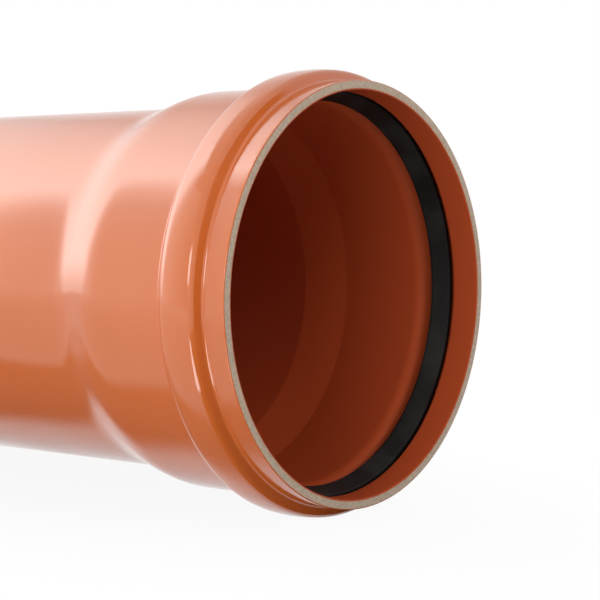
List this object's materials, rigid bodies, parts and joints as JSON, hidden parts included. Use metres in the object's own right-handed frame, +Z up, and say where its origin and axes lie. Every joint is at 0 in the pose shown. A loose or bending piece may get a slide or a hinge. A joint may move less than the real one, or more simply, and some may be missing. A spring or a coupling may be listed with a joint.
{
  "type": "pvc sewer pipe",
  "caption": "Orange PVC sewer pipe with a formed bell socket, a black rubber seal ring in its groove and a chamfered spigot end, for joining into a waste water drain.",
  "frame": {"origin": "on the floor, under the middle of the pipe's length", "axes": "+X towards the socket's mouth, along the pipe as it lies, +Z up; the pipe's own axis rises 1.4 degrees towards the mouth because the bead is thicker than the spigot"},
  "size_m": [0.5746, 0.1868, 0.1869],
  "materials": {
    "orange_pvc": "smooth gloss, orange-brown skins over a grey core that shows on the cut rim",
    "black_rubber": "satin"
  },
  "bodies": {
    "root": {"pipe": "orange_pvc", "seal_ring": "black_rubber"}
  },
  "joints": []
}
